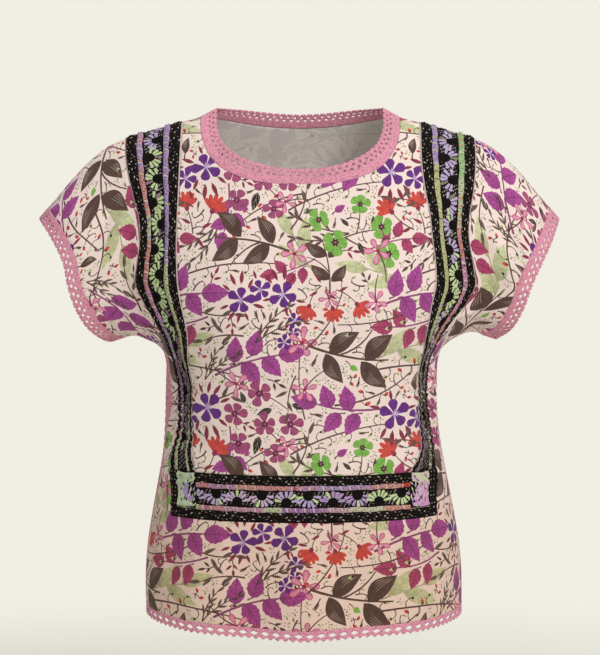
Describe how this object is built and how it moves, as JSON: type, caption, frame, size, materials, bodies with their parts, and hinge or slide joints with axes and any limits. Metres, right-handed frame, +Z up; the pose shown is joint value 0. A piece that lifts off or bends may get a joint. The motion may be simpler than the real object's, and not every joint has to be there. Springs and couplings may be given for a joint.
{
  "type": "drawn-thread blouse",
  "caption": "Cap-sleeved blouse of flower-printed cloth with black drawn-thread bands, side insertions and pink crocheted edgings at neck, cuffs and hem.",
  "frame": {"origin": "midway between the neck points at shoulder height, where a wearer's shoulders hold the blouse up", "axes": "+X to the viewer's right with the front in view, +Y from the front to the back, +Z up"},
  "size_m": [0.6112, 0.2483, 0.6027],
  "materials": {
    "printed_cloth": "plain-woven viscose, printed",
    "drawn_thread": "black braid, coloured cords and openwork",
    "crochet": "crocheted cotton thread"
  },
  "bodies": {
    "root": {"front_centre": "printed_cloth", "front_outer": "printed_cloth", "back_panel": "printed_cloth", "sleeve_left": "printed_cloth", "sleeve_right": "printed_cloth", "band_left": "drawn_thread", "band_right": "drawn_thread", "band_front": "drawn_thread", "side_lace_left": "crochet", "side_lace_right": "crochet", "neck_lace_front": "crochet", "neck_lace_back": "crochet", "cuff_lace_left_front": "crochet", "cuff_lace_left_back": "crochet", "cuff_lace_right_front": "crochet", "cuff_lace_right_back": "crochet", "hem_lace_front": "crochet", "hem_lace_back": "crochet"}
  },
  "joints": []
}
